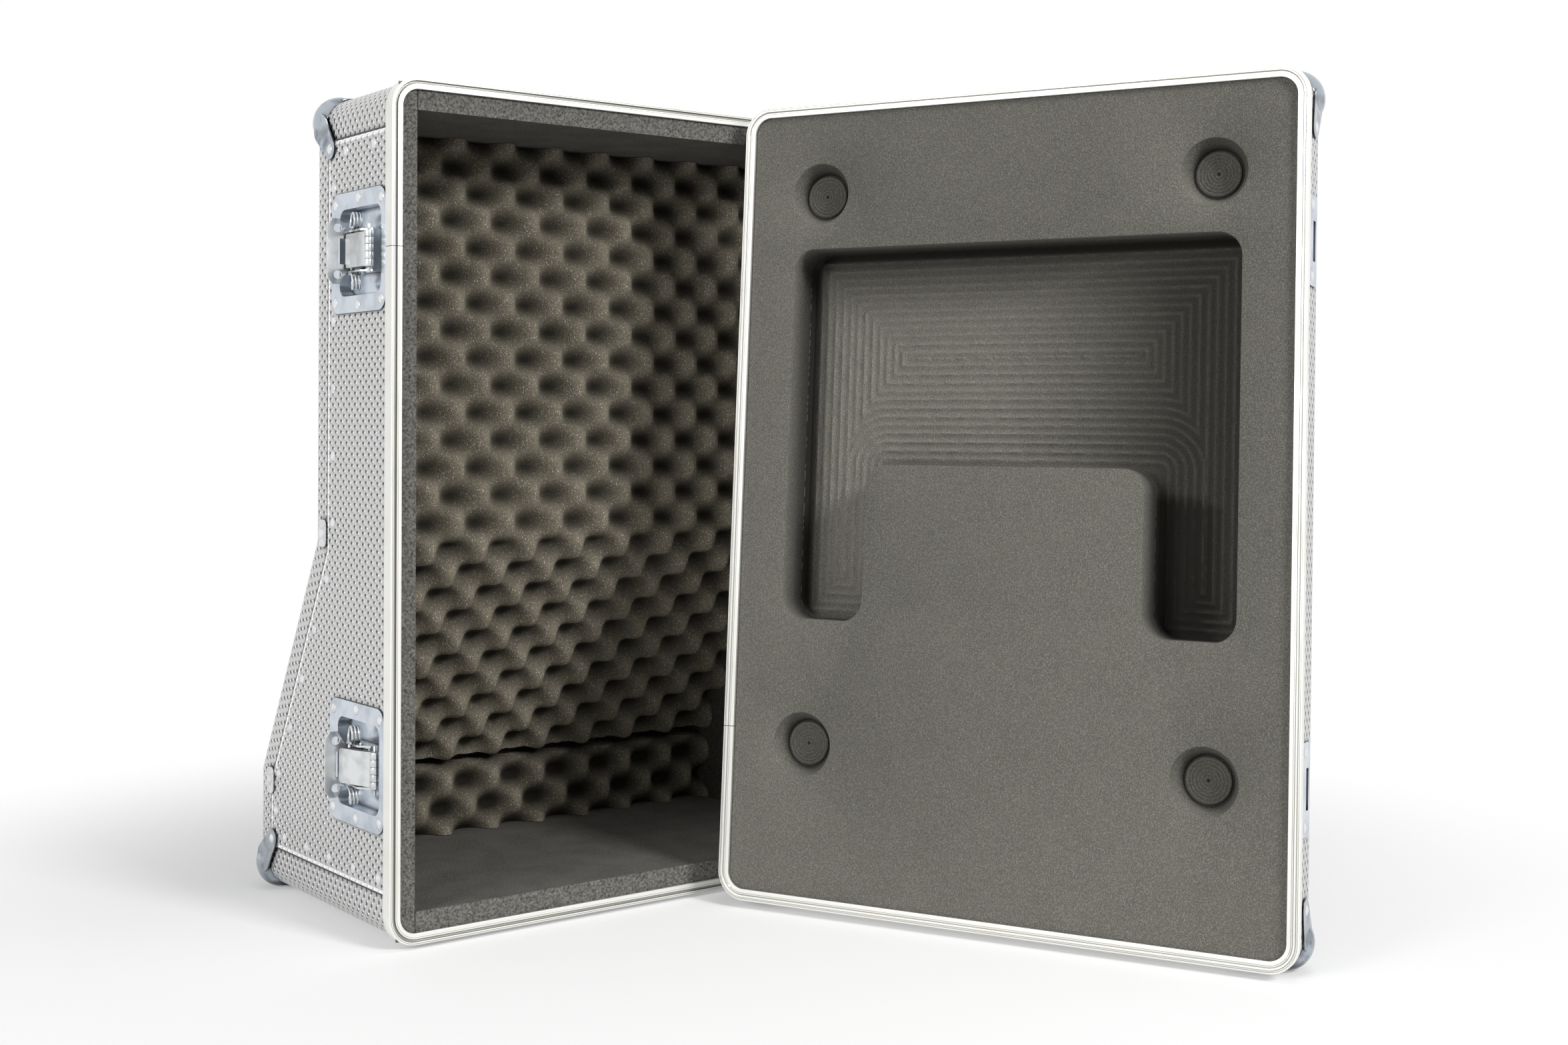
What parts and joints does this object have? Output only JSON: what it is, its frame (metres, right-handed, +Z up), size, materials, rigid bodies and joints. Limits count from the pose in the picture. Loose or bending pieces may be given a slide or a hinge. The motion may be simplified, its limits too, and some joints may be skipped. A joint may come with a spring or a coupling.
{
  "type": "mixer flight case",
  "caption": "Open flight case for a mixing desk: deep cover with a sloping back, shallow foam-lined tray with cut-outs, butterfly-style side latches and ball corners",
  "frame": {"origin": "the middle of the underside of the cover's rim; the floor is 3.0 mm below, at the ball corners", "axes": "+X across the cover to the side where the tray stands, +Y from the cover's rim to its back, +Z up as the case stands"},
  "size_m": [0.6357, 0.8048, 0.726],
  "materials": {
    "skin": "embossed mill finish, fine bumps",
    "extrusion": "satin extruded",
    "zinc": "bright zinc plate",
    "rivet": "domed, bright",
    "dish": "pressed, bright plate",
    "latch": "bright zinc plate",
    "spring": "drawn wire",
    "plank_foam": "closed-cell foam, matt charcoal",
    "egg_foam": "open-cell egg-crate foam, matt charcoal",
    "tray_foam": "closed-cell foam with milled pockets"
  },
  "bodies": {
    "cover": {"cover_back_lower_sheet": "skin", "cover_back_slope_sheet": "skin", "cover_back_upper_sheet": "skin", "cover_ball_corners": "zinc", "cover_bottom_sheet": "skin", "cover_rim": "extrusion", "cover_rivets": "rivet", "cover_seam_tabs": "zinc", "cover_side_panel_left": "skin", "cover_side_panel_right": "skin", "cover_top_sheet": "skin", "egg_foam_lower": "egg_foam", "egg_foam_slope": "egg_foam", "egg_foam_upper": "egg_foam", "latch_left_lower_bracket": "latch", "latch_left_lower_dish": "dish", "latch_left_lower_springs": "spring", "latch_left_upper_bracket": "latch", "latch_left_upper_dish": "dish", "latch_left_upper_springs": "spring", "latch_right_lower_bracket": "latch", "latch_right_lower_dish": "dish", "latch_right_lower_springs": "spring", "latch_right_upper_bracket": "latch", "latch_right_upper_dish": "dish", "latch_right_upper_springs": "spring", "latch_rivets": "rivet", "lining_bottom": "plank_foam", "lining_left": "plank_foam", "lining_right": "plank_foam", "lining_top": "plank_foam"},
    "tray": {"tray_back_sheet": "skin", "tray_ball_corners": "zinc", "tray_bottom_sheet": "skin", "tray_catch_left_lower": "skin", "tray_catch_left_upper": "skin", "tray_catch_right_lower": "skin", "tray_catch_right_upper": "skin", "tray_foam_base": "tray_foam", "tray_foam_cutout": "tray_foam", "tray_rim": "extrusion", "tray_rivets": "rivet", "tray_top_sheet": "skin"},
    "left_lower_link": {"latch_left_lower_link": "latch"},
    "left_lower_plate": {"latch_left_lower_plate": "latch"},
    "left_lower_wing": {"latch_left_lower_wing": "latch"},
    "left_upper_link": {"latch_left_upper_link": "latch"},
    "left_upper_plate": {"latch_left_upper_plate": "latch"},
    "left_upper_wing": {"latch_left_upper_wing": "latch"},
    "right_lower_link": {"latch_right_lower_link": "latch"},
    "right_lower_plate": {"latch_right_lower_plate": "latch"},
    "right_lower_wing": {"latch_right_lower_wing": "latch"},
    "right_upper_link": {"latch_right_upper_link": "latch"},
    "right_upper_plate": {"latch_right_upper_plate": "latch"},
    "right_upper_wing": {"latch_right_upper_wing": "latch"}
  },
  "joints": [
    {"name": "tray_away", "type": "slide", "parent": "cover", "child": "tray", "axis": [0, -1, 0], "range_m": [0, 0.4]},
    {"name": "left_upper_link_rock", "type": "hinge", "parent": "cover", "child": "left_upper_link", "pos_m": [-0.2582, 0.0499, 0.578], "axis": [0, 0, 1], "range_deg": [-6, 0]},
    {"name": "left_upper_plate_swing", "type": "hinge", "parent": "left_upper_link", "child": "left_upper_plate", "pos_m": [-0.2642, 0.0259, 0.578], "axis": [0, 0, 1], "range_deg": [0, 180]},
    {"name": "left_upper_wing_fold", "type": "hinge", "parent": "cover", "child": "left_upper_wing", "pos_m": [-0.2582, 0.0719, 0.578], "axis": [0, 0, -1], "range_deg": [0, 88]},
    {"name": "left_lower_link_rock", "type": "hinge", "parent": "cover", "child": "left_lower_link", "pos_m": [-0.2582, 0.0499, 0.142], "axis": [0, 0, 1], "range_deg": [-22, 0]},
    {"name": "left_lower_plate_swing", "type": "hinge", "parent": "left_lower_link", "child": "left_lower_plate", "pos_m": [-0.25735, 0.02518, 0.142], "axis": [0, 0, 1], "range_deg": [0, 145]},
    {"name": "left_lower_wing_fold", "type": "hinge", "parent": "cover", "child": "left_lower_wing", "pos_m": [-0.2582, 0.0719, 0.142], "axis": [0, 0, -1], "range_deg": [0, 88]},
    {"name": "right_upper_link_rock", "type": "hinge", "parent": "cover", "child": "right_upper_link", "pos_m": [0.2582, 0.0499, 0.578], "axis": [0, 0, -1], "range_deg": [-6, 0]},
    {"name": "right_upper_plate_swing", "type": "hinge", "parent": "right_upper_link", "child": "right_upper_plate", "pos_m": [0.2642, 0.0259, 0.578], "axis": [0, 0, -1], "range_deg": [0, 180]},
    {"name": "right_upper_wing_fold", "type": "hinge", "parent": "cover", "child": "right_upper_wing", "pos_m": [0.2582, 0.0719, 0.578], "axis": [0, 0, 1], "range_deg": [0, 88]},
    {"name": "right_lower_link_rock", "type": "hinge", "parent": "cover", "child": "right_lower_link", "pos_m": [0.2582, 0.0499, 0.142], "axis": [0, 0, -1], "range_deg": [-6, 0]},
    {"name": "right_lower_plate_swing", "type": "hinge", "parent": "right_lower_link", "child": "right_lower_plate", "pos_m": [0.2642, 0.0259, 0.142], "axis": [0, 0, -1], "range_deg": [0, 180]},
    {"name": "right_lower_wing_fold", "type": "hinge", "parent": "cover", "child": "right_lower_wing", "pos_m": [0.2582, 0.0719, 0.142], "axis": [0, 0, 1], "range_deg": [0, 88]}
  ]
}
